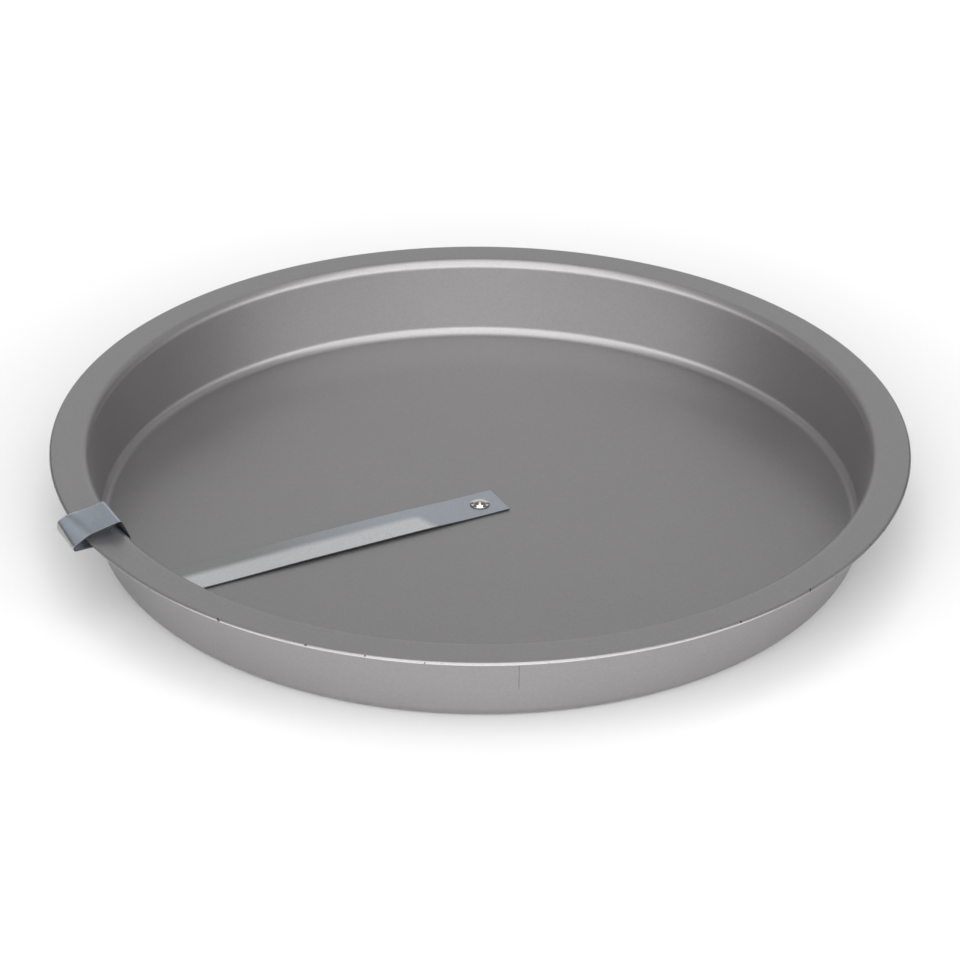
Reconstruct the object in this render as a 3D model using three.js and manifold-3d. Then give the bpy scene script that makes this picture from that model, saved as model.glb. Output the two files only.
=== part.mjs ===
// Pie pan with a release arm.
// A pan pressed from one sheet, a flat strip that turns about the middle of its floor and slides round its rim to
// free the crust, and the rivet that holds the strip. Millimetres, +Z up, origin on the table under the rivet.

import * as THREE from 'three';
import { mergeVertices } from 'three/addons/utils/BufferGeometryUtils.js';
import Module from 'manifold-3d';

// Pan
const SHEET = 0.5; // thickness of the sheet
const FLOOR_RADIUS = 110.9; // inside floor, out to the start of its corner
const CORNER_RADIUS = 2.75; // inside radius between floor and wall
const WALL_LEAN = 4.55; // outward lean of the wall, in degrees
const PAN_HEIGHT = 25.8; // table to the top of the flange
const RIM_BEND = 2.75; // top radius where the wall turns out into the flange
const FLANGE = 8.1; // flat width of the flange
const LIP_BEND = 1; // outside radius of the turned-down edge
const LIP_TURN = 70; // degrees that the edge is turned down

// Release arm
const ARM_WIDTH = 12.7;
const ARM_THICKNESS = 0.4;
const ARM_END = 6.8; // square end past the rivet's axis
const ARM_AZIMUTH = 207.7; // direction of the arm from +X, in degrees
const ARM_PLAY = 0.15; // gap between the arm and the floor
const WALL_PLAY = 0.25; // gap between the arm's edges and the wall
const KNEE_RISE = 0.9; // height above the wall's top where the arm starts to lean out over the flange
const KNEE_BEND = 3; // radius of that knee, at mid thickness
const TAB_SETBACK = 1; // how far the tab starts inside the flat of the flange
const TAB_LIFT = 3.45; // gap under the tab where it starts
const TAB_BEND = 0.9; // radius there, at mid thickness
const LIP_PLAY = 1.45; // gap under the tab where it passes over the edge of the flange
const CREASE_BEND = 12; // radius of the crease there, at mid thickness
const HOOK_FALL = 32.5; // slope of the tab past that crease, in degrees
const HOOK_REACH = 4.5; // how far the hook stands out past the edge
const HOOK_DROP = 1.2; // gap between the edge and the hook's lower leg
const HOOK_BEND = 0.8; // radius of the hook's two bends, at mid thickness
const HOOK_RETURN = 7.9; // length of the lower leg, back under the flange

// Rivet
const SHANK_RADIUS = 1.6;
const SHANK_PLAY = 0.15; // gap between the shank and the holes in the floor and the arm
const HEAD_RADIUS = 2.95;
const HEAD_EDGE = 0.2; // upright rim of the head
const HEAD_DOME = 0.9; // rise of the dome above that rim
const HEAD_PLAY = 0.1; // gap between the arm and the head
const TAIL_INSET = 0.05; // how far the countersunk tail stays inside the pan's underside

// Fineness of round stretches
const TURN_STEPS = 96; // flats round the pan
const PIVOT_STEPS = 32; // flats round the rivet and its holes
const BEND_STEPS = 6; // flats in a bend
const DOME_STEPS = 6; // flats from the head's rim to its top

// Places that more than one piece needs
const lean = THREE.MathUtils.degToRad(WALL_LEAN);
const holeRadius = SHANK_RADIUS + SHANK_PLAY;
const cornerTangent = Math.tan(Math.PI / 4 - lean / 2);
const wallFoot = FLOOR_RADIUS + (CORNER_RADIUS + SHEET / 2) * cornerTangent;
const flangeMiddle = PAN_HEIGHT - SHEET / 2;
const wallHead = wallFoot + (flangeMiddle - SHEET / 2) * Math.tan(lean);
const flangeStart = wallHead + (RIM_BEND - SHEET / 2) * cornerTangent;
const flangeEnd = flangeStart + FLANGE;
const lipTurn = THREE.MathUtils.degToRad(LIP_TURN);
const lipRadius = flangeEnd + LIP_BEND * Math.sin(lipTurn);
const lipBottom = PAN_HEIGHT - LIP_BEND + (LIP_BEND - SHEET) * Math.cos(lipTurn);
const armMiddle = SHEET + ARM_PLAY + ARM_THICKNESS / 2;

const wasm = await Module();
wasm.setup();

// The unit direction from one point to another.
function heading(from, to) {
  return new THREE.Vector2(to.x - from.x, to.y - from.y).normalize();
}

// Straight runs between corners { x, y, bend }, with an arc of radius bend in each corner that has one. Returns the
// points of the path, each with the normal on the path's left, lengthened where two runs meet at a sharp corner.
function bentPath(corners) {
  const last = corners.length - 1;
  return corners.flatMap((corner, index) => {
    const next = heading(corners[Math.min(index, last - 1)], corners[Math.min(index, last - 1) + 1]);
    const before = index > 0 ? heading(corners[index - 1], corner) : next;
    const turn = Math.atan2(before.cross(next), before.dot(next));
    const left = new THREE.Vector2(-before.y, before.x);
    const at = new THREE.Vector2(corner.x, corner.y);
    const origin = new THREE.Vector2();
    if (!corner.bend) {
      const mitre = left.clone().rotateAround(origin, turn / 2).divideScalar(Math.cos(turn / 2));
      return [{ point: at, normal: mitre }];
    }
    const side = Math.sign(turn) * corner.bend;
    const start = at.clone().addScaledVector(before, -corner.bend * Math.tan(Math.abs(turn) / 2));
    const centre = start.addScaledVector(left, side);
    return Array.from({ length: BEND_STEPS + 1 }, (_, step) => {
      const normal = left.clone().rotateAround(origin, (turn * step) / BEND_STEPS);
      return { point: centre.clone().addScaledVector(normal, -side), normal };
    });
  });
}

// The closed outline of a sheet of the given thickness whose middle follows a path.
function sheetOutline(path, thickness) {
  const offset = (spot, distance) => spot.point.clone().addScaledVector(spot.normal, distance);
  const under = path.map((spot) => offset(spot, -thickness / 2));
  const upper = path.map((spot) => offset(spot, thickness / 2));
  return [...under, ...upper.reverse()];
}

// A profile of (radius, height) points turned about the Z axis.
function turned(profile, steps) {
  return new THREE.LatheGeometry(profile, steps).rotateX(Math.PI / 2);
}

// A closed geometry as a solid that can be cut.
function solidOf(geometry) {
  geometry.deleteAttribute('normal');
  geometry.deleteAttribute('uv');
  const merged = mergeVertices(geometry);
  const vertProperties = merged.attributes.position.array;
  const triVerts = Uint32Array.from(merged.index.array);
  return new wasm.Manifold(new wasm.Mesh({ numProp: 3, vertProperties, triVerts }));
}

// A solid as a geometry again.
function geometryOf(solid) {
  const { vertProperties, triVerts } = solid.getMesh();
  const geometry = new THREE.BufferGeometry();
  geometry.setAttribute('position', new THREE.BufferAttribute(vertProperties, 3));
  geometry.setIndex(new THREE.BufferAttribute(triVerts, 1));
  geometry.computeVertexNormals();
  return geometry;
}

function namedMesh(name, geometry, material) {
  const mesh = new THREE.Mesh(geometry, new THREE.MeshStandardMaterial(material));
  mesh.name = name;
  return mesh;
}

// The pan's section runs from the rivet hole over the floor, up the wall and out to the turned-down edge. The hole
// is countersunk at 45 degrees from below, through the whole sheet.
function panBody() {
  const lipTangent = (LIP_BEND - SHEET / 2) * Math.tan(lipTurn / 2);
  const lipCorner = flangeEnd + lipTangent;
  const path = bentPath([
    { x: holeRadius, y: SHEET / 2 },
    { x: wallFoot, y: SHEET / 2, bend: CORNER_RADIUS + SHEET / 2 },
    { x: wallHead, y: flangeMiddle, bend: RIM_BEND - SHEET / 2 },
    { x: lipCorner, y: flangeMiddle, bend: LIP_BEND - SHEET / 2 },
    { x: lipCorner + lipTangent * Math.cos(lipTurn), y: flangeMiddle - lipTangent * Math.sin(lipTurn) },
  ]);
  const [holeEdge, ...outline] = sheetOutline(path, SHEET);
  const sinkEdge = new THREE.Vector2(holeEdge.x + SHEET, holeEdge.y);
  const geometry = turned([sinkEdge, ...outline, sinkEdge], TURN_STEPS);
  return namedMesh('pan_body', geometry, { color: 0x8e8d8e, roughness: 0.42, metalness: 0.8 });
}

// The middle of the arm's riser at a height. It follows the wall, and its flat width keeps clear of the wall's curve.
function riserAt(height) {
  const wallInside = wallFoot - SHEET / 2 / Math.cos(lean) + (height - SHEET / 2) * Math.tan(lean);
  const chord = wallInside * Math.cos(Math.PI / TURN_STEPS);
  const edgeLimit = Math.sqrt(chord ** 2 - (ARM_WIDTH / 2) ** 2);
  return edgeLimit - (WALL_PLAY + ARM_THICKNESS / 2) / Math.cos(lean);
}

// The arm's side view runs from its square end over the rivet, along the floor, up the wall, over the flange and
// round the edge. Distances are measured outwards from the rivet.
function armPath() {
  const wallCorner = riserAt(armMiddle);
  const kneeHeight = PAN_HEIGHT - RIM_BEND + KNEE_RISE;
  const tabStart = flangeStart - TAB_SETBACK;
  const tabHeight = PAN_HEIGHT + TAB_LIFT + ARM_THICKNESS / 2;
  const creaseHeight = PAN_HEIGHT + LIP_PLAY + ARM_THICKNESS / 2;
  const hookFall = THREE.MathUtils.degToRad(HOOK_FALL);
  const hookFace = lipRadius + HOOK_REACH - ARM_THICKNESS / 2;
  const hookTop = creaseHeight - Math.tan(hookFall) * (hookFace - lipRadius);
  const hookBottom = lipBottom - HOOK_DROP - ARM_THICKNESS / 2;
  const topTangent = Math.tan(Math.PI / 4 - hookFall / 2);
  const hookBend = Math.min(HOOK_BEND, (hookTop - hookBottom) / (topTangent + 1));
  return bentPath([
    { x: -ARM_END, y: armMiddle },
    { x: wallCorner, y: armMiddle, bend: CORNER_RADIUS - ARM_THICKNESS / 2 },
    { x: riserAt(kneeHeight), y: kneeHeight, bend: KNEE_BEND },
    { x: tabStart, y: tabHeight, bend: TAB_BEND },
    { x: lipRadius, y: creaseHeight, bend: CREASE_BEND },
    { x: hookFace, y: hookTop, bend: hookBend },
    { x: hookFace, y: hookBottom, bend: hookBend },
    { x: hookFace + ARM_THICKNESS / 2 - HOOK_RETURN, y: hookBottom },
  ]);
}

// The strip is its side view given a width, with the rivet's hole cut through it.
function releaseArm() {
  const sideView = new THREE.Shape(sheetOutline(armPath(), ARM_THICKNESS));
  const strip = new THREE.ExtrudeGeometry(sideView, { depth: ARM_WIDTH, steps: 1, bevelEnabled: false });
  strip.translate(0, 0, -ARM_WIDTH / 2).rotateX(Math.PI / 2);
  const cutHeight = ARM_THICKNESS + 2 * PAN_HEIGHT;
  const hole = new THREE.CylinderGeometry(holeRadius, holeRadius, cutHeight, PIVOT_STEPS).rotateX(Math.PI / 2);
  const geometry = geometryOf(solidOf(strip).subtract(solidOf(hole)));
  return namedMesh('release_arm', geometry, { color: 0xa3a9ae, roughness: 0.38, metalness: 0.9 });
}

// The rivet's section runs up from the middle of its countersunk tail to the top of its domed head.
function pivotRivet() {
  const headSeat = armMiddle + ARM_THICKNESS / 2 + HEAD_PLAY;
  const domeRadius = (HEAD_RADIUS ** 2 + HEAD_DOME ** 2) / (2 * HEAD_DOME);
  const domeCentre = headSeat + HEAD_EDGE + HEAD_DOME - domeRadius;
  const domeSpan = Math.asin(HEAD_RADIUS / domeRadius);
  const dome = Array.from({ length: DOME_STEPS + 1 }, (_, step) => {
    const angle = domeSpan * (1 - step / DOME_STEPS);
    return new THREE.Vector2(domeRadius * Math.sin(angle), domeCentre + domeRadius * Math.cos(angle));
  });
  const profile = [
    new THREE.Vector2(0, TAIL_INSET),
    new THREE.Vector2(SHANK_RADIUS + SHEET - TAIL_INSET, TAIL_INSET),
    new THREE.Vector2(SHANK_RADIUS, SHEET),
    new THREE.Vector2(SHANK_RADIUS, headSeat),
    new THREE.Vector2(HEAD_RADIUS, headSeat),
    ...dome,
  ];
  const geometry = turned(profile, PIVOT_STEPS);
  return namedMesh('pivot_rivet', geometry, { color: 0xd9d6d0, roughness: 0.15, metalness: 1 });
}

const arm = new THREE.Group();
arm.rotation.z = THREE.MathUtils.degToRad(ARM_AZIMUTH);
arm.add(releaseArm());

const piePan = new THREE.Group();
piePan.add(panBody(), arm, pivotRivet());

export default piePan;
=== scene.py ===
"""Pie pan with a release arm: the dressed pieces, a pale table, studio light and a camera.

Lengths are in metres, +Z is up, and the origin lies on the table under the rivet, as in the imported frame.
"""

import logging
import math
from dataclasses import dataclass
from enum import Enum
from typing import Union

import bmesh
import bpy
from mathutils import Matrix, Vector


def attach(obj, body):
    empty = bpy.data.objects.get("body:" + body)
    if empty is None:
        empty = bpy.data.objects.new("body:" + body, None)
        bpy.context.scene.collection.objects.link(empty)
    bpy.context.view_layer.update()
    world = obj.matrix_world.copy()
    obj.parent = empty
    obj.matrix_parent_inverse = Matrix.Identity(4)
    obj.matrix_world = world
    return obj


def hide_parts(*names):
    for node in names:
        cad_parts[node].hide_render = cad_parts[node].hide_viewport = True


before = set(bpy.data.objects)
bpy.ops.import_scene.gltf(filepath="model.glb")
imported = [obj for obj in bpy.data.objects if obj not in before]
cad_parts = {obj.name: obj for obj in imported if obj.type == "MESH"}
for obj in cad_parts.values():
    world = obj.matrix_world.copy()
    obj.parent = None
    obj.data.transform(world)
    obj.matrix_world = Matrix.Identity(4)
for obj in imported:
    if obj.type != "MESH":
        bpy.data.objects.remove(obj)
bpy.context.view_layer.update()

LOG = logging.getLogger("pie_pan")

MM = 0.001
CENTRE = (0.0, 0.0, 0.0)
UP = (0.0, 0.0, 1.0)
# Metres below which a length counts as nothing.
MERGE = 1e-7
# Decimal places of a metre to which heights are compared.
PLACES = 6


class Body(Enum):
    """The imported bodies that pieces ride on."""

    PAN = "pan"
    ARM = "arm"


class Slot(Enum):
    """The record's material slots."""

    PAN_COATING = "pan_coating"
    ARM_METAL = "arm_metal"
    RIVET_METAL = "rivet_metal"


class Term:
    """One output of a finish's nodes, which Python's operators join into Math nodes."""

    def __init__(self, recipe: "Recipe", socket: bpy.types.NodeSocket) -> None:
        """Keeps the socket and the recipe that it belongs to."""
        self.recipe = recipe
        self.socket = socket

    def output(self, name: Union[str, int]) -> "Term":
        """Gives another output of the same node."""
        return Term(self.recipe, self.socket.node.outputs[name])

    def __add__(self, other: "Feed") -> "Term":
        """Adds."""
        return self.recipe.math("ADD", self, other)

    def __radd__(self, other: "Feed") -> "Term":
        """Adds, with this term second."""
        return self.recipe.math("ADD", other, self)

    def __sub__(self, other: "Feed") -> "Term":
        """Subtracts."""
        return self.recipe.math("SUBTRACT", self, other)

    def __rsub__(self, other: "Feed") -> "Term":
        """Subtracts this term from another."""
        return self.recipe.math("SUBTRACT", other, self)

    def __mul__(self, other: "Feed") -> "Term":
        """Multiplies."""
        return self.recipe.math("MULTIPLY", self, other)

    def rise(self, low: float, high: float) -> "Term":
        """Gives 0 below low and 1 above high, with a smooth step between."""
        settings = {"interpolation_type": "SMOOTHSTEP"}
        sockets = {"Value": self, "From Min": low, "From Max": high, "To Min": 0.0, "To Max": 1.0}
        return self.recipe.node("ShaderNodeMapRange", settings, sockets)


Feed = Union[Term, float, tuple[float, ...]]


class Recipe:
    """A material under construction: its nodes, and the maths that joins them."""

    # Numbers of the Mix node's sockets for colours, whose names it uses more than once.
    FACTOR, FIRST_COLOUR, SECOND_COLOUR, MIXED_COLOUR = 0, 6, 7, 2

    def __init__(self, name: str) -> None:
        """Starts an empty node material of that name."""
        self.material = bpy.data.materials.new(name)
        self.material.use_nodes = True
        self.tree = self.material.node_tree
        self.tree.nodes.clear()

    def node(self, kind: str, settings: dict[str, object], sockets: dict[Union[str, int], Feed],
             output: Union[str, int] = 0) -> Term:
        """Adds one node.

        Args:
            kind: Blender's name for the type of node.
            settings: the node's own properties, which are set before its sockets.
            sockets: what each input gets, by name or number; a term is linked and anything else is set.
            output: the output that the result stands for.

        Returns:
            That output, ready for more maths.
        """
        node = self.tree.nodes.new(kind)
        for key, value in settings.items():
            setattr(node, key, value)
        for key, feed in sockets.items():
            if isinstance(feed, Term):
                self.tree.links.new(feed.socket, node.inputs[key])
            else:
                node.inputs[key].default_value = feed
        return Term(self, node.outputs[output])

    def math(self, operation: str, *feeds: Feed) -> Term:
        """Adds one Math node with those inputs in order."""
        return self.node("ShaderNodeMath", {"operation": operation}, dict(enumerate(feeds)))

    def mix(self, factor: Feed, first: Feed, second: Feed, blend: str = "MIX") -> Term:
        """Mixes two colours.

        Args:
            factor: share of the second colour.
            first: colour at a factor of 0.
            second: colour at a factor of 1.
            blend: how the second colour acts on the first.

        Returns:
            The mixed colour.
        """
        settings = {"data_type": "RGBA", "blend_type": blend}
        sockets = {self.FACTOR: factor, self.FIRST_COLOUR: first, self.SECOND_COLOUR: second}
        return self.node("ShaderNodeMix", settings, sockets, self.MIXED_COLOUR)

    def place(self, turn: float = 0.0, stretch: tuple[float, float, float] = (1.0, 1.0, 1.0)) -> Term:
        """Gives the piece's own coordinates, turned about Z and then stretched.

        Args:
            turn: angle in radians that the coordinates are turned by.
            stretch: scale along each axis after the turn.

        Returns:
            A vector in metres for the texture nodes.
        """
        place = self.node("ShaderNodeTexCoord", {}, {}, "Object")
        turned = self.node("ShaderNodeMapping", {}, {"Vector": place, "Rotation": (0.0, 0.0, turn)})
        return self.node("ShaderNodeMapping", {}, {"Vector": turned, "Scale": stretch})

    def noise(self, place: Term, scale: float, detail: float = 2.0) -> Term:
        """Gives a cloudy value round 0.5.

        Args:
            place: coordinates in metres.
            scale: clouds to a metre.
            detail: layers of finer clouds.

        Returns:
            The value.
        """
        return self.node("ShaderNodeTexNoise", {}, {"Vector": place, "Scale": scale, "Detail": detail})

    def cells(self, place: Term, scale: float) -> Term:
        """Gives one even value from 0 to 1 to each cell of a grain with that many cells to a metre."""
        colour = self.node("ShaderNodeTexVoronoi", {}, {"Vector": place, "Scale": scale}, "Color")
        return self.node("ShaderNodeSeparateColor", {}, {"Color": colour})

    def axes(self, place: Term) -> tuple[Term, Term, Term]:
        """Splits coordinates into x, y and z."""
        split = self.node("ShaderNodeSeparateXYZ", {}, {"Vector": place})
        return split, split.output("Y"), split.output("Z")

    def reach(self, along: Term, across: Term) -> Term:
        """Gives the length of the diagonal over two lengths."""
        return self.math("SQRT", along * along + across * across)

    def shade(self, colour: Feed, factor: Term) -> Term:
        """Makes a colour lighter or darker by a factor that varies over the surface."""
        grey = self.node("ShaderNodeCombineColor", {}, {"Red": factor, "Green": factor, "Blue": factor})
        return self.mix(1.0, colour, grey, "MULTIPLY")

    def bump(self, height: Term, distance: float) -> Term:
        """Turns a relief from 0 to 1 into a normal, where 1 stands for that many metres."""
        return self.node("ShaderNodeBump", {}, {"Strength": 1.0, "Distance": distance, "Height": height})

    def close(self, sockets: dict[Union[str, int], Feed]) -> bpy.types.Material:
        """Ends the recipe with a Principled shader.

        Args:
            sockets: the shader's inputs.

        Returns:
            The finished material.
        """
        shader = self.node("ShaderNodeBsdfPrincipled", {}, sockets)
        target = self.tree.nodes.new("ShaderNodeOutputMaterial")
        self.tree.links.new(shader.socket, target.inputs["Surface"])
        return self.material


@dataclass(frozen=True)
class SatinCoat:
    """The pan's silver-grey baking coat: flake in a satin film, rubbed along the lip, with a few marks."""

    name: str = "satin_coat"
    tint: tuple[float, float, float, float] = (0.336, 0.328, 0.332, 1.0)
    mark_tint: tuple[float, float, float, float] = (0.09, 0.087, 0.085, 1.0)
    metallic: float = 0.9
    roughness: float = 0.40
    flakes: float = 2500.0
    flake_contrast: float = 0.08
    clouds: float = 30.0
    cloud_contrast: float = 0.05
    peel: float = 900.0
    peel_depth: float = 0.004 * MM
    lip: tuple[float, float] = (125.9 * MM, 126.5 * MM)
    lip_polish: float = 0.06
    chips: float = 800.0
    chip_level: tuple[float, float] = (0.78, 0.82)
    scratch_azimuth: float = math.radians(275.4)
    scratch_heights: tuple[float, float] = (9.0 * MM, 24.0 * MM)
    scratch_width: tuple[float, float] = (0.06 * MM, 0.2 * MM)
    scratch_from: float = 110.0 * MM
    scratch_fade: float = 1.0 * MM
    scratch_share: float = 0.45

    def scratch(self, recipe: Recipe, place: Term) -> Term:
        """Gives the thin upright scratch on the outside of the wall.

        Args:
            recipe: the material that it goes into.
            place: the piece's own coordinates.

        Returns:
            The share of the mark's colour, 0 away from the scratch.
        """
        along, across, height = recipe.axes(place)
        aside = along * math.sin(self.scratch_azimuth) - across * math.cos(self.scratch_azimuth)
        line = 1.0 - recipe.math("ABSOLUTE", aside).rise(*self.scratch_width)
        low, high = self.scratch_heights
        fade = self.scratch_fade
        upright = height.rise(low, low + fade) * (1.0 - height.rise(high - fade, high))
        outside = (0.0 - across).rise(self.scratch_from, self.scratch_from + fade)
        return line * upright * outside * self.scratch_share

    def material(self) -> bpy.types.Material:
        """Makes the coat's material.

        Returns:
            The material.
        """
        recipe = Recipe(self.name)
        place = recipe.place()
        flake = recipe.cells(place, self.flakes) - 0.5
        cloud = recipe.noise(place, self.clouds) - 0.5
        tone = 1.0 + flake * self.flake_contrast + cloud * self.cloud_contrast
        along, across, _ = recipe.axes(place)
        lip = recipe.reach(along, across).rise(*self.lip)
        chip = recipe.noise(place, self.chips, detail=0.0).rise(*self.chip_level) * lip
        mark = recipe.math("MAXIMUM", chip, self.scratch(recipe, place))
        relief = recipe.noise(place, self.peel)
        return recipe.close({
            "Base Color": recipe.mix(mark, recipe.shade(self.tint, tone), self.mark_tint),
            "Metallic": self.metallic,
            "Roughness": self.roughness + cloud * self.cloud_contrast - lip * self.lip_polish,
            "Normal": recipe.bump(relief, self.peel_depth),
        })


@dataclass(frozen=True)
class GalvanisedSteel:
    """The strip's zinc coat: pale, bluish and speckled, with painted highlights and painted shade on the
    floor run, the tab and the hook.
    """

    name: str = "galvanised_steel"
    tint: tuple[float, float, float, float] = (0.455, 0.49, 0.542, 1.0)
    roughness: float = 0.34
    spangles: float = 700.0
    spangle_contrast: float = 0.04
    speckles: float = 1600.0
    speckle_contrast: float = 0.22
    grain: tuple[float, float, float] = (60.0, 2600.0, 2600.0)
    grain_contrast: float = 0.06
    turn: float = 0.0
    # The floor run: a painted highlight along its near side, and painted shade on its far side, standing in
    # for its reflection of the dark wall.
    highlight_side: tuple[float, float] = (-2.7 * MM, 0.6 * MM)
    highlight_start: tuple[float, float] = (18.2 * MM, 21.8 * MM)
    highlight_lean: float = 0.3
    highlight_tint: tuple[float, float, float, float] = (0.765, 0.775, 0.785, 1.0)
    band_end: tuple[float, float] = (103.0 * MM, 109.0 * MM)
    shaded_run: tuple[float, float] = (26.0 * MM, 82.0 * MM)
    shade_tint: tuple[float, float, float, float] = (0.335, 0.345, 0.338, 1.0)
    # The tab, painted lighter than the floor run for the light it catches; the hook's face, in painted
    # shade; the sheared edges, dark bare steel with painted shadow; and the tab's top edges, rubbed and
    # with a painted highlight.
    tab_light_tint: tuple[float, float, float, float] = (0.51, 0.56, 0.632, 1.0)
    hook_face: tuple[float, float] = (130.5 * MM, 131.1 * MM)
    sheared: tuple[float, float] = (6.26 * MM, 6.32 * MM)
    sheared_and_shadow_tint: tuple[float, float, float, float] = (0.085, 0.09, 0.095, 1.0)
    rub_and_glint_edge: tuple[float, float] = (5.95 * MM, 6.15 * MM)
    rub_and_glint_tint: tuple[float, float, float, float] = (0.74, 0.76, 0.78, 1.0)
    rub_and_glint_share: float = 0.8

    def colour(self, recipe: Recipe, place: Term, tone: Term) -> Term:
        """Gives the zinc's colour: the floor run's painted highlight and painted shade, the tab, and the
        edges.

        Args:
            recipe: the material that it goes into.
            place: the strip's coordinates, along it and across it.
            tone: a factor round 1 for the grain.

        Returns:
            The colour.
        """
        along, across, _ = recipe.axes(place)
        floor_run = 1.0 - along.rise(*self.band_end)
        start = (along + across * self.highlight_lean).rise(*self.highlight_start)
        # Painted highlight: a lighter band along the floor run's near side.
        highlight = across.rise(*self.highlight_side) * start * floor_run
        # Painted shade: the floor run darkens further out, standing in for its reflection of the dark wall.
        shaded = along.rise(*self.shaded_run) * floor_run
        # The tab is painted lighter and bluer for the light it catches, and the hook's face and inside are
        # in painted shade.
        tab = recipe.mix(along.rise(*self.hook_face), self.tab_light_tint, self.shade_tint)
        plain = recipe.mix(shaded, recipe.mix(floor_run, tab, self.tint), self.shade_tint)
        zinc = recipe.mix(highlight, plain, self.highlight_tint)
        aside = recipe.math("ABSOLUTE", across)
        # A light line along the tab's top edges: rubbed zinc, brightened with a painted highlight where the
        # rounded edge catches the light.
        rub_and_glint = aside.rise(*self.rub_and_glint_edge) * (1.0 - floor_run) * self.rub_and_glint_share
        edged = recipe.mix(rub_and_glint, zinc, self.rub_and_glint_tint)
        # Sheared edges: dark bare steel, deepened with painted shadow from the gap under the strip.
        return recipe.shade(recipe.mix(aside.rise(*self.sheared), edged, self.sheared_and_shadow_tint), tone)

    def material(self) -> bpy.types.Material:
        """Makes the zinc coat's material.

        Returns:
            The material.
        """
        recipe = Recipe(self.name)
        place = recipe.place(self.turn)
        spangle = recipe.cells(place, self.spangles) - 0.5
        speckle = recipe.noise(place, self.speckles) - 0.5
        grain = recipe.noise(recipe.place(self.turn, self.grain), 1.0) - 0.5
        tone = (1.0 + spangle * self.spangle_contrast + speckle * self.speckle_contrast
                + grain * self.grain_contrast)
        return recipe.close({
            "Base Color": self.colour(recipe, place, tone),
            "Metallic": 1.0,
            "Roughness": self.roughness + spangle * self.spangle_contrast + grain * self.grain_contrast,
        })


@dataclass(frozen=True)
class PolishedNickel:
    """The rivet's bright plating, dulled a little by handling, and darker in a ring round its edge."""

    name: str = "polished_nickel"
    tint: tuple[float, float, float, float] = (0.74, 0.72, 0.68, 1.0)
    edge_dark_tint: tuple[float, float, float, float] = (0.12, 0.115, 0.11, 1.0)
    roughness: float = 0.12
    smears: float = 600.0
    smear_contrast: float = 0.08
    edge_dark_ring: tuple[float, float] = (2.7 * MM, 2.95 * MM)
    edge_dark_share: float = 0.75

    def material(self) -> bpy.types.Material:
        """Makes the plating's material.

        Returns:
            The material.
        """
        recipe = Recipe(self.name)
        place = recipe.place()
        smear = recipe.noise(place, self.smears) - 0.5
        along, across, _ = recipe.axes(place)
        # Darker and rougher in a ring round the head's edge.
        edge_dark = recipe.reach(along, across).rise(*self.edge_dark_ring) * self.edge_dark_share
        plating = recipe.shade(self.tint, 1.0 + smear * self.smear_contrast)
        return recipe.close({
            "Base Color": recipe.mix(edge_dark, plating, self.edge_dark_tint),
            "Metallic": 1.0,
            "Roughness": self.roughness + smear * self.smear_contrast + edge_dark * self.roughness,
        })


@dataclass(frozen=True)
class PaleTable:
    """The matt pale table under the pan."""

    name: str = "pale_table"
    tint: tuple[float, float, float, float] = (0.785, 0.785, 0.785, 1.0)
    clouds: float = 8.0
    cloud_contrast: float = 0.01
    glow: float = 0.18
    glow_reach: tuple[float, float] = (0.128, 0.30)

    def material(self) -> bpy.types.Material:
        """Makes the table's material, which glows faintly away from the pan: painted light that keeps the
        table white round a tight contact shadow.

        Returns:
            The material.
        """
        recipe = Recipe(self.name)
        place = recipe.place()
        cloud = recipe.noise(place, self.clouds) - 0.5
        along, across, _ = recipe.axes(place)
        glow = recipe.reach(along, across).rise(*self.glow_reach)
        return recipe.close({
            "Base Color": recipe.shade(self.tint, 1.0 + cloud * self.cloud_contrast),
            "Roughness": 1.0,
            "Specular IOR Level": 0.0,
            # Painted light: the table glows, from nothing at the pan's edge up to its full glow further
            # out.
            "Emission Color": recipe.shade(self.tint, glow),
            "Emission Strength": self.glow,
        })


@dataclass(frozen=True)
class Corner:
    """A corner of a sheet's section: its distance out, its height, and the radius that rounds it."""

    out: float
    height: float
    bend: float = 0.0

    def heading(self, other: "Corner") -> float:
        """Gives the angle above level of the run to another corner."""
        return math.atan2(other.height - self.height, other.out - self.out)

    def distance(self, other: "Corner") -> float:
        """Gives the length of the run to another corner."""
        return math.hypot(other.height - self.height, other.out - self.out)


def turn_between(first: float, second: float) -> float:
    """Gives the turn from one heading to another, the short way round."""
    return (second - first + math.pi) % (2.0 * math.pi) - math.pi


def smooth(value: float, low: float, high: float) -> float:
    """Gives 0 below low and 1 above high, with a smooth step between."""
    share = min(max((value - low) / (high - low), 0.0), 1.0)
    return share * share * (3.0 - 2.0 * share)


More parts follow.
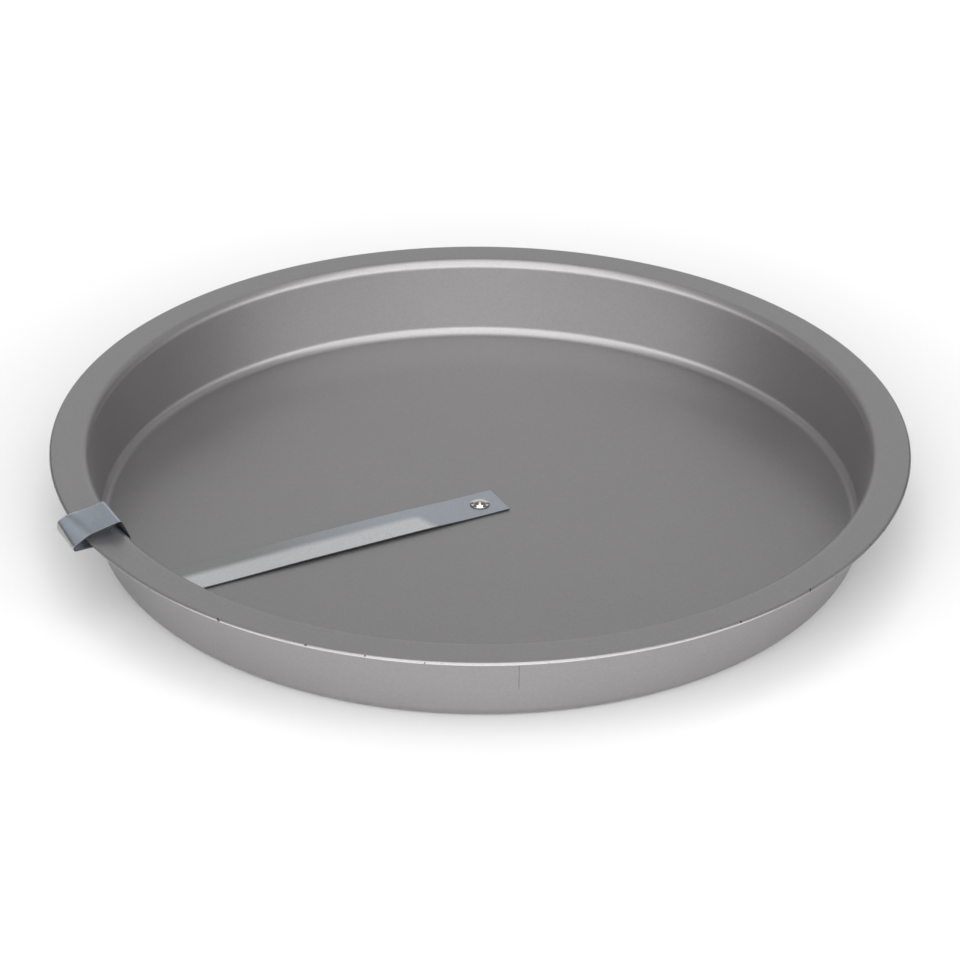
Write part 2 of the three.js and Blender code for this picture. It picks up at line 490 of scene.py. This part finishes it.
class Draft:
    """A bmesh in the making, with the few operations that sheet metal needs."""

    # A run counts as long when it is more than this many guard distances.
    LONG_RUN = 4.0

    def __init__(self) -> None:
        """Starts an empty mesh."""
        self.mesh = bmesh.new()

    def wire(self, corners: tuple[Corner, ...], steps: int, guard: float) -> None:
        """Draws a section in the XZ plane and rounds its corners.

        Args:
            corners: the section's corners from the axis outwards.
            steps: facets in each rounded corner.
            guard: distance from each long run's ends at which it gets a further vertex.
        """
        verts = [self.mesh.verts.new((corner.out, 0.0, corner.height)) for corner in corners]
        for first, second in zip(verts, verts[1:]):
            self.mesh.edges.new((first, second))
        for index in range(len(corners) - 2, 0, -1):
            here = corners[index]
            if here.bend:
                turn = turn_between(corners[index - 1].heading(here), here.heading(corners[index + 1]))
                bmesh.ops.bevel(
                    self.mesh, geom=[verts[index]], offset=here.bend * math.tan(abs(turn) / 2.0),
                    offset_type="OFFSET", segments=steps, profile=0.5, affect="VERTICES", material=-1)
        for edge in [edge for edge in self.mesh.edges if edge.calc_length() > self.LONG_RUN * guard]:
            start, end = edge.verts
            _, split = bmesh.utils.edge_split(edge, start, guard / edge.calc_length())
            rest = next(item for item in split.link_edges if end in item.verts)
            bmesh.utils.edge_split(rest, end, guard / rest.calc_length())

    def lathe(self, steps: int) -> None:
        """Turns everything drawn so far once round the Z axis.

        Args:
            steps: facets round the axis.
        """
        geom = self.mesh.verts[:] + self.mesh.edges[:]
        bmesh.ops.spin(self.mesh, geom=geom, cent=CENTRE, axis=UP, angle=2.0 * math.pi, steps=steps,
                       use_merge=True)
        bmesh.ops.remove_doubles(self.mesh, verts=self.mesh.verts[:], dist=MERGE)
        bmesh.ops.recalc_face_normals(self.mesh, faces=self.mesh.faces[:])

    def face_up(self) -> None:
        """Turns the sheet over if its lowest face, the largest of those at that height, looks down."""
        lowest = min(
            self.mesh.faces,
            key=lambda face: (round(face.calc_center_median().z, PLACES), -face.calc_area()))
        lowest.normal_update()
        if lowest.normal.z < 0.0:
            bmesh.ops.reverse_faces(self.mesh, faces=self.mesh.faces[:])

    def thicken(self, thickness: float) -> None:
        """Gives the sheet its thickness on the side that it doesn't look to."""
        bmesh.ops.solidify(self.mesh, geom=self.mesh.faces[:], thickness=thickness)

    def countersink(self, radius: float, depth: float) -> None:
        """Widens a hole on the Z axis to 45 degrees on the sheet's underside.

        Args:
            radius: radius of the outermost ring of vertices that moves with the hole's edge.
            depth: depth of the countersink.
        """
        for vert in self.mesh.verts:
            out = vert.co.xy.length
            if abs(vert.co.z) < MERGE and out < radius + MERGE:
                vert.co.xy *= (out + depth) / out

    def soften(self, radius: float, steps: int, sharpest: float = math.radians(50.0)) -> None:
        """Rounds the sheared edges.

        Args:
            radius: size of the rounding.
            steps: facets in it.
            sharpest: angle between faces above which an edge is rounded.
        """
        edges = [edge for edge in self.mesh.edges if edge.is_manifold and edge.calc_face_angle() > sharpest]
        bmesh.ops.bevel(self.mesh, geom=edges, offset=radius, offset_type="OFFSET", segments=steps,
                        profile=0.5, affect="EDGES", material=-1, clamp_overlap=True)

    def piece(self, name: str, material: bpy.types.Material) -> bpy.types.Object:
        """Ends the draft as a smooth object at the origin.

        Args:
            name: the object's name.
            material: its finish.

        Returns:
            The object, linked to the scene.
        """
        open_edges = sum(not edge.is_manifold for edge in self.mesh.edges)
        data = bpy.data.meshes.new(name)
        self.mesh.to_mesh(data)
        self.mesh.free()
        data.shade_smooth()
        data.materials.append(material)
        piece = bpy.data.objects.new(name, data)
        bpy.context.scene.collection.objects.link(piece)
        piece.modifiers.new("flat_runs", "WEIGHTED_NORMAL").mode = "FACE_AREA"
        LOG.info("%s: %d faces, %d open edges", name, len(data.polygons), open_edges)
        return piece


@dataclass(frozen=True)
class PanBody:
    """The pan, pressed from one sheet: flat floor, wall, flat rim and turned-down lip."""

    sheet: float = 0.5 * MM
    floor_radius: float = 110.9 * MM
    corner_radius: float = 2.75 * MM
    wall_lean: float = math.radians(4.55)
    height: float = 25.8 * MM
    rim_bend: float = 2.75 * MM
    flange: float = 8.1 * MM
    lip_bend: float = 1.0 * MM
    lip_turn: float = math.radians(70.0)
    lip_straight: float = 0.1 * MM
    hole_radius: float = 1.75 * MM
    edge_radius: float = 0.05 * MM
    edge_steps: int = 3
    turn_steps: int = 256
    bend_steps: int = 10
    guard: float = 0.35 * MM

    @property
    def wall_foot(self) -> float:
        """Gives the radius at which the wall's inside would meet the floor without a fillet."""
        return self.floor_radius + self.corner_radius * math.tan(math.pi / 4.0 - self.wall_lean / 2.0)

    @property
    def wall_head(self) -> float:
        """Gives the radius at which the wall's inside would meet the rim without a bend."""
        return self.wall_foot + (self.height - self.sheet) * math.tan(self.wall_lean)

    @property
    def flange_start(self) -> float:
        """Gives the radius at which the flat of the rim starts."""
        return self.wall_head + self.rim_bend * math.tan(math.pi / 4.0 - self.wall_lean / 2.0)

    @property
    def flange_end(self) -> float:
        """Gives the radius at which the flat of the rim ends."""
        return self.flange_start + self.flange

    @property
    def lip_tangent(self) -> float:
        """Gives the length from the lip's corner to either end of its bend."""
        return self.lip_bend * math.tan(self.lip_turn / 2.0)

    @property
    def lip_radius(self) -> float:
        """Gives the pan's radius over the lip."""
        return self.flange_end + self.lip_bend * math.sin(self.lip_turn)

    @property
    def lip_bottom(self) -> float:
        """Gives the height of the lip's lower edge."""
        inner = self.lip_bend - self.sheet
        return self.height - self.lip_bend + inner * math.cos(self.lip_turn)

    def section(self) -> tuple[Corner, ...]:
        """Gives the corners of the sheet's upper side from the rivet's hole to the lip.

        Returns:
            The corners in order.
        """
        lip = self.flange_end + self.lip_tangent
        lip_bend = self.lip_bend - self.lip_straight / math.tan(self.lip_turn / 2.0)
        return (
            Corner(self.hole_radius, self.sheet),
            Corner(self.wall_foot, self.sheet, self.corner_radius),
            Corner(self.wall_head, self.height, self.rim_bend),
            Corner(lip, self.height, lip_bend),
            Corner(lip + self.lip_tangent * math.cos(self.lip_turn),
                   self.height - self.lip_tangent * math.sin(self.lip_turn)),
        )

    def build(self, finish: SatinCoat) -> bpy.types.Object:
        """Makes the pan and puts it in its node's place.

        Args:
            finish: the coat on it.

        Returns:
            The pan.
        """
        draft = Draft()
        draft.wire(self.section(), self.bend_steps, self.guard)
        draft.lathe(self.turn_steps)
        draft.face_up()
        draft.thicken(self.sheet)
        draft.countersink(self.hole_radius + self.guard, self.sheet)
        draft.soften(self.edge_radius, self.edge_steps)
        pan = draft.piece("pressed_pan", finish.material())
        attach(pan, Body.PAN.value)
        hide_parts("pan_body")
        return pan


@dataclass(frozen=True)
class ReleaseArm:
    """The strip that frees the crust: pivot end, floor run, wall run, raised tab and hook under the rim."""

    pan: PanBody
    # Sizes and direction that the strip shares with its solid.
    width: float = 12.7 * MM
    thickness: float = 0.4 * MM
    end: float = 6.8 * MM
    azimuth: float = math.radians(207.7)
    play: float = 0.15 * MM
    wall_play: float = 0.25 * MM
    knee_rise: float = 0.9 * MM
    knee_bend: float = 3.0 * MM
    tab_setback: float = 1.0 * MM
    tab_lift: float = 3.45 * MM
    tab_bend: float = 0.9 * MM
    lip_play: float = 1.45 * MM
    crease_bend: float = 12.0 * MM
    hook_fall: float = math.radians(32.5)
    hook_reach: float = 4.5 * MM
    hook_drop: float = 1.2 * MM
    hook_bend: float = 0.8 * MM
    hook_return: float = 7.9 * MM
    # Flats round the pan's solid, which the strip clears.
    solid_steps: int = 96
    # Facets, and the rounding of corners and sheared edges.
    hole_steps: int = 64
    run_steps: int = 24
    short_run_steps: int = 2
    bend_steps: int = 10
    corner_round: float = 0.4 * MM
    corner_steps: int = 4
    edge_radius: float = 0.06 * MM
    edge_steps: int = 2
    # Camber, bow and twist, which the solid leaves out, and the stretches over which they set in or end.
    ridge: float = -1.5 * MM
    near_fall: float = math.radians(2.0)
    far_fall: float = math.radians(1.5)
    camber_start: tuple[float, float] = (14.0 * MM, 30.0 * MM)
    camber_end: tuple[float, float] = (92.0 * MM, 106.0 * MM)
    bow: float = 0.4 * MM
    bow_start: tuple[float, float] = (3.0 * MM, 24.0 * MM)
    bow_end: tuple[float, float] = (55.0 * MM, 92.0 * MM)
    twist: float = 2.4 * MM
    twist_start: tuple[float, float] = (121.5 * MM, 135.5 * MM)
    twist_heights: tuple[float, float] = (23.6 * MM, 25.6 * MM)

    @property
    def middle(self) -> float:
        """Gives the height of the strip's mid thickness at the rivet's axis."""
        return self.pan.sheet + self.play + self.thickness / 2.0

    def riser(self, height: float) -> float:
        """Gives how far out the strip's mid thickness stands on its way up the wall.

        Args:
            height: height above the table.

        Returns:
            The distance from the rivet's axis.
        """
        lean = self.pan.wall_lean
        inside = self.pan.wall_foot + (height - self.pan.sheet) * math.tan(lean)
        chord = inside * math.cos(math.pi / self.solid_steps)
        reach = math.sqrt(chord ** 2 - (self.width / 2.0) ** 2)
        return reach - (self.wall_play + self.thickness / 2.0) / math.cos(lean)

    def folds(self) -> tuple[Corner, ...]:
        """Gives the corners of the strip's mid thickness from its pivot end to the hook's free end.

        Returns:
            The corners in order.
        """
        pan = self.pan
        half = self.thickness / 2.0
        foot = self.riser(self.middle)
        knee = pan.height - pan.rim_bend + self.knee_rise
        tab = Corner(pan.flange_start - self.tab_setback, pan.height + self.tab_lift + half, self.tab_bend)
        crease = Corner(pan.lip_radius, pan.height + self.lip_play + half, self.crease_bend)
        face = pan.lip_radius + self.hook_reach - half
        top = crease.height - math.tan(self.hook_fall) * (face - crease.out)
        bottom = pan.lip_bottom - self.hook_drop - half
        room = (top - bottom) / (math.tan(math.pi / 4.0 - self.hook_fall / 2.0) + 1.0)
        bend = min(self.hook_bend, room)
        return (
            Corner(-self.end, self.middle),
            Corner(foot, self.middle, pan.corner_radius - half),
            Corner(self.riser(knee), knee, self.knee_bend),
            tab,
            crease,
            Corner(face, top, bend),
            Corner(face, bottom, bend),
            Corner(face + half - self.hook_return, bottom),
        )

    def pivot_end(self, draft: Draft, height: float) -> list[bmesh.types.BMEdge]:
        """Starts the strip with the square end round the rivet's hole.

        Args:
            draft: the mesh that it goes into.
            height: height of the strip's upper side.

        Returns:
            The edges across the strip from which it goes on outwards.
        """
        mesh = draft.mesh
        bmesh.ops.create_circle(
            mesh, cap_ends=False, radius=self.pan.hole_radius, segments=self.hole_steps)
        grown = bmesh.ops.extrude_edge_only(mesh, edges=mesh.edges[:])["geom"]
        outer = [item for item in grown if isinstance(item, bmesh.types.BMVert)]
        half = self.width / 2.0
        for vert in outer:
            vert.co *= half / max(abs(vert.co.x), abs(vert.co.y))
        last = [vert for vert in outer if abs(vert.co.x - half) < MERGE]
        for vert in outer:
            if vert.co.x < MERGE - half:
                vert.co.x = -self.end
        for vert in mesh.verts:
            vert.co.z = height
        return [edge for edge in mesh.edges if edge.verts[0] in last and edge.verts[1] in last]

    def straight(self, draft: Draft, row: list[bmesh.types.BMEdge], heading: float, length: float,
                 steps: int) -> list[bmesh.types.BMEdge]:
        """Carries the strip on in a straight run.

        Args:
            draft: the mesh that it goes into.
            row: the edges across the strip's present end.
            heading: angle of the run above level.
            length: length of the run.
            steps: faces along it.

        Returns:
            The edges across the new end.
        """
        step = Vector((math.cos(heading), 0.0, math.sin(heading))) * (length / steps)
        for _ in range(steps):
            grown = bmesh.ops.extrude_edge_only(draft.mesh, edges=row)["geom"]
            verts = [item for item in grown if isinstance(item, bmesh.types.BMVert)]
            bmesh.ops.translate(draft.mesh, verts=verts, vec=step)
            row = [item for item in grown if isinstance(item, bmesh.types.BMEdge)
                   and item.verts[0] in verts and item.verts[1] in verts]
        return row

    def fold(self, draft: Draft, row: list[bmesh.types.BMEdge], heading: float, turn: float,
             radius: float) -> list[bmesh.types.BMEdge]:
        """Carries the strip on round a fold.

        Args:
            draft: the mesh that it goes into.
            row: the edges across the strip's present end.
            heading: angle of the run before the fold.
            turn: angle of the fold, positive upwards.
            radius: radius of the strip's upper side in the fold.

        Returns:
            The edges across the new end.
        """
        here = row[0].verts[0].co
        side = math.copysign(radius, turn)
        centre = (here.x - side * math.sin(heading), 0.0, here.z + side * math.cos(heading))
        geom = row + list(dict.fromkeys(vert for edge in row for vert in edge.verts))
        grown = bmesh.ops.spin(draft.mesh, geom=geom, cent=centre, axis=(0.0, -1.0, 0.0), angle=turn,
                               steps=self.bend_steps)["geom_last"]
        return [item for item in grown if isinstance(item, bmesh.types.BMEdge)]

    def camber(self, out: float, across: float) -> float:
        """Gives the height that the strip's bow and bent section add on the floor run.

        Args:
            out: distance from the rivet's axis.
            across: distance from the strip's centre line, positive on the left of the way out.

        Returns:
            The height to add.
        """
        fall = self.near_fall if across > self.ridge else self.far_fall
        crown = (self.width / 2.0 - self.ridge) * math.tan(self.near_fall)
        rise = crown - abs(across - self.ridge) * math.tan(fall)
        section = rise * smooth(out, *self.camber_start) * (1.0 - smooth(out, *self.camber_end))
        return section + self.bow * smooth(out, *self.bow_start) * (1.0 - smooth(out, *self.bow_end))

    def lift(self, out: float, across: float, height: float) -> float:
        """Gives the height that the strip's twisted end adds, most on the far side of the tab.

        Args:
            out: distance from the rivet's axis.
            across: distance from the strip's centre line, positive on the left of the way out.
            height: height above the table.

        Returns:
            The height to add.
        """
        share = 0.5 - across / self.width
        return self.twist * share * smooth(out, *self.twist_start) * smooth(height, *self.twist_heights)

    def upper_side(self, draft: Draft) -> None:
        """Draws the strip's upper side, run by run and fold by fold, along +X.

        Args:
            draft: the mesh that it goes into.
        """
        folds = self.folds()
        headings = [first.heading(second) for first, second in zip(folds, folds[1:])]
        turns = [turn_between(first, second) for first, second in zip(headings, headings[1:])]
        taken = [fold.bend * math.tan(abs(turn) / 2.0) for fold, turn in zip(folds[1:], turns)]
        tangents = [0.0] + taken + [0.0]
        half = self.thickness / 2.0
        row = self.pivot_end(draft, self.middle + half)
        spent = self.end + self.width / 2.0
        for index, heading in enumerate(headings):
            run = folds[index].distance(folds[index + 1]) - tangents[index] - tangents[index + 1]
            # The hook's two bends leave no straight run between them.
            if run > MERGE:
                first = index == 0
                steps = self.run_steps if first else self.short_run_steps
                row = self.straight(draft, row, heading, run - spent * first, steps)
            if index < len(turns):
                turn = turns[index]
                radius = folds[index + 1].bend - math.copysign(half, turn)
                row = self.fold(draft, row, heading, turn, radius)
        bmesh.ops.recalc_face_normals(draft.mesh, faces=draft.mesh.faces[:])
        draft.face_up()

    def build(self, finish: GalvanisedSteel) -> bpy.types.Object:
        """Makes the strip and puts it in its node's place.

        Args:
            finish: the zinc coat on it.

        Returns:
            The strip.
        """
        draft = Draft()
        self.upper_side(draft)
        corners = [vert for vert in draft.mesh.verts if len(vert.link_edges) == 2]
        bmesh.ops.bevel(
            draft.mesh, geom=corners, offset=self.corner_round, offset_type="OFFSET",
            segments=self.corner_steps, profile=0.5, affect="VERTICES", material=-1)
        for vert in draft.mesh.verts:
            out, across, height = vert.co
            on_floor = height < self.pan.corner_radius
            vert.co.z += self.camber(out, across) if on_floor else self.lift(out, across, height)
        draft.thicken(self.thickness)
        draft.soften(self.edge_radius, self.edge_steps)
        turned = Matrix.Rotation(self.azimuth, 3, "Z")
        bmesh.ops.rotate(draft.mesh, cent=CENTRE, matrix=turned, verts=draft.mesh.verts[:])
        arm = draft.piece("release_strip", finish.material())
        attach(arm, Body.ARM.value)
        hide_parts("release_arm")
        return arm


@dataclass(frozen=True)
class PivotRivet:
    """The rivet on which the strip turns: low dome, shank through strip and floor, and countersunk tail."""

    arm: ReleaseArm
    shank_radius: float = 1.6 * MM
    head_radius: float = 2.95 * MM
    head_edge: float = 0.2 * MM
    head_dome: float = 0.9 * MM
    head_play: float = 0.1 * MM
    tail_inset: float = 0.05 * MM
    turn_steps: int = 96
    dome_steps: int = 16
    edge_radius: float = 0.06 * MM
    edge_steps: int = 3

    @property
    def seat(self) -> float:
        """Gives the height of the head's underside."""
        return self.arm.middle + self.arm.thickness / 2.0 + self.head_play

    def build(self, finish: PolishedNickel) -> bpy.types.Object:
        """Makes the rivet and puts it in its node's place.

        Args:
            finish: the plating on it.

        Returns:
            The rivet.
        """
        draft = Draft()
        mesh = draft.mesh
        edge_top = self.seat + self.head_edge
        dome = (self.head_radius ** 2 + self.head_dome ** 2) / (2.0 * self.head_dome)
        crown = mesh.verts.new((0.0, 0.0, edge_top + self.head_dome))
        arc = bmesh.ops.spin(
            mesh, geom=[crown], cent=(0.0, 0.0, edge_top + self.head_dome - dome), axis=(0.0, 1.0, 0.0),
            angle=math.asin(self.head_radius / dome), steps=self.dome_steps)
        last = next(item for item in arc["geom_last"] if isinstance(item, bmesh.types.BMVert))
        sheet = self.arm.pan.sheet
        tail_radius = self.shank_radius + sheet - self.tail_inset
        for out, height in (
                (self.head_radius, self.seat), (self.shank_radius, self.seat), (self.shank_radius, sheet),
                (tail_radius, self.tail_inset), (0.0, self.tail_inset)):
            last = bmesh.ops.extrude_vert_indiv(mesh, verts=[last])["verts"][0]
            last.co = (out, 0.0, height)
        draft.lathe(self.turn_steps)
        draft.soften(self.edge_radius, self.edge_steps)
        rivet = draft.piece("dome_rivet", finish.material())
        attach(rivet, Body.PAN.value)
        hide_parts("pivot_rivet")
        return rivet


@dataclass(frozen=True)
class SoftBox:
    """A soft rectangular studio light that looks at the pan, hung alike at each of its azimuths."""

    name: str
    azimuths: tuple[float, ...]
    elevation: float
    width: float
    height: float
    glow: float
    distance: float = 3.0

    def hang(self, azimuth: float) -> bpy.types.Object:
        """Hangs one light.

        Args:
            azimuth: its direction from the pan in degrees, counted from +X towards +Y.

        Returns:
            The light.
        """
        data = bpy.data.lights.new(self.name, "AREA")
        data.shape = "RECTANGLE"
        data.size = self.width
        data.size_y = self.height
        data.energy = self.glow * self.width * self.height
        light = bpy.data.objects.new(self.name, data)
        turn, lift = math.radians(azimuth), math.radians(self.elevation)
        away = Vector((math.cos(turn) * math.cos(lift), math.sin(turn) * math.cos(lift), math.sin(lift)))
        light.location = away * self.distance
        light.rotation_euler = away.to_track_quat("Z", "Y").to_euler()
        light.visible_camera = False
        bpy.context.scene.collection.objects.link(light)
        return light


@dataclass(frozen=True)
class Studio:
    """The table, the lights, the dim room and the camera."""

    table_radius: float = 6.0
    table_steps: int = 64
    table_drop: float = 0.1 * MM
    room: float = 0.17
    sensor: float = 36.0
    lens: float = 127.154
    camera_place: tuple[float, float, float] = (0.0, -0.8805, 0.5102)
    camera_pitch: float = math.radians(29.63)
    camera_roll: float = math.radians(0.33)
    soft_boxes: tuple[SoftBox, ...] = (
        SoftBox("front_wall", azimuths=(270.0,), elevation=27.5, width=3.07, height=2.48, glow=6.5),
        SoftBox("front_skirt", azimuths=(270.0,), elevation=10.0, width=3.07, height=1.03, glow=5.8),
        SoftBox("front_low", azimuths=(217.5, 322.5), elevation=17.5, width=2.37, height=1.33, glow=8.9),
        SoftBox("front_mid", azimuths=(217.5, 322.5), elevation=40.0, width=1.9, height=1.06, glow=4.4),
        SoftBox("front_top", azimuths=(270.0,), elevation=61.0, width=1.67, height=1.17, glow=7.0),
        SoftBox("front_high", azimuths=(217.5, 322.5), elevation=61.0, width=1.2, height=1.17, glow=7.1),
        SoftBox("side_low", azimuths=(0.0, 180.0), elevation=17.5, width=1.53, height=1.33, glow=2.0),
        SoftBox("overhead", azimuths=(90.0,), elevation=89.9, width=1.83, height=1.83, glow=6.2),
        SoftBox("overhead_strip", azimuths=(90.0,), elevation=62.0, width=0.5, height=1.5, glow=3.2),
        SoftBox("back_wing", azimuths=(40.0, 140.0), elevation=38.0, width=1.0, height=1.17, glow=1.7),
        SoftBox("back_panel", azimuths=(90.0,), elevation=21.3, width=2.58, height=2.03, glow=1.64),
    )

    def table(self, finish: PaleTable) -> bpy.types.Object:
        """Lays the table, a hair under the pan so that their faces don't coincide.

        Args:
            finish: its surface.

        Returns:
            The table.
        """
        mesh = bmesh.new()
        bmesh.ops.create_circle(mesh, cap_ends=True, radius=self.table_radius, segments=self.table_steps)
        bmesh.ops.translate(mesh, verts=mesh.verts, vec=(0.0, 0.0, -self.table_drop))
        data = bpy.data.meshes.new("table_top")
        mesh.to_mesh(data)
        mesh.free()
        data.materials.append(finish.material())
        table = bpy.data.objects.new("table_top", data)
        bpy.context.scene.collection.objects.link(table)
        return table

    def light(self) -> None:
        """Hangs the lights and dims the room."""
        world = bpy.data.worlds.new("dim_room")
        world.use_nodes = True
        background = world.node_tree.nodes["Background"]
        background.inputs["Color"].default_value = (self.room, self.room, self.room, 1.0)
        bpy.context.scene.world = world
        for soft_box in self.soft_boxes:
            for azimuth in soft_box.azimuths:
                soft_box.hang(azimuth)
            LOG.info("%s hung", soft_box.name)

    def camera(self) -> bpy.types.Object:
        """Sets up the camera.

        Returns:
            The camera.
        """
        data = bpy.data.cameras.new("studio_camera")
        data.sensor_width = self.sensor
        data.lens = self.lens
        camera = bpy.data.objects.new("studio_camera", data)
        pitch = Matrix.Rotation(math.pi / 2.0 - self.camera_pitch, 4, "X")
        roll = Matrix.Rotation(self.camera_roll, 4, "Z")
        camera.matrix_world = Matrix.Translation(self.camera_place) @ pitch @ roll
        bpy.context.scene.collection.objects.link(camera)
        bpy.context.scene.camera = camera
        return camera


def main() -> None:
    """Builds the pieces, the table, the light and the camera."""
    logging.basicConfig(level=logging.INFO, format="%(name)s: %(message)s")
    bpy.context.scene.view_settings.view_transform = "Standard"
    pan = PanBody()
    arm = ReleaseArm(pan)
    rivet = PivotRivet(arm)
    pan.build(SatinCoat())
    arm.build(GalvanisedSteel(turn=-arm.azimuth))
    rivet.build(PolishedNickel())
    studio = Studio()
    studio.table(PaleTable())
    studio.light()
    studio.camera()


if __name__ == "__main__":
    main()
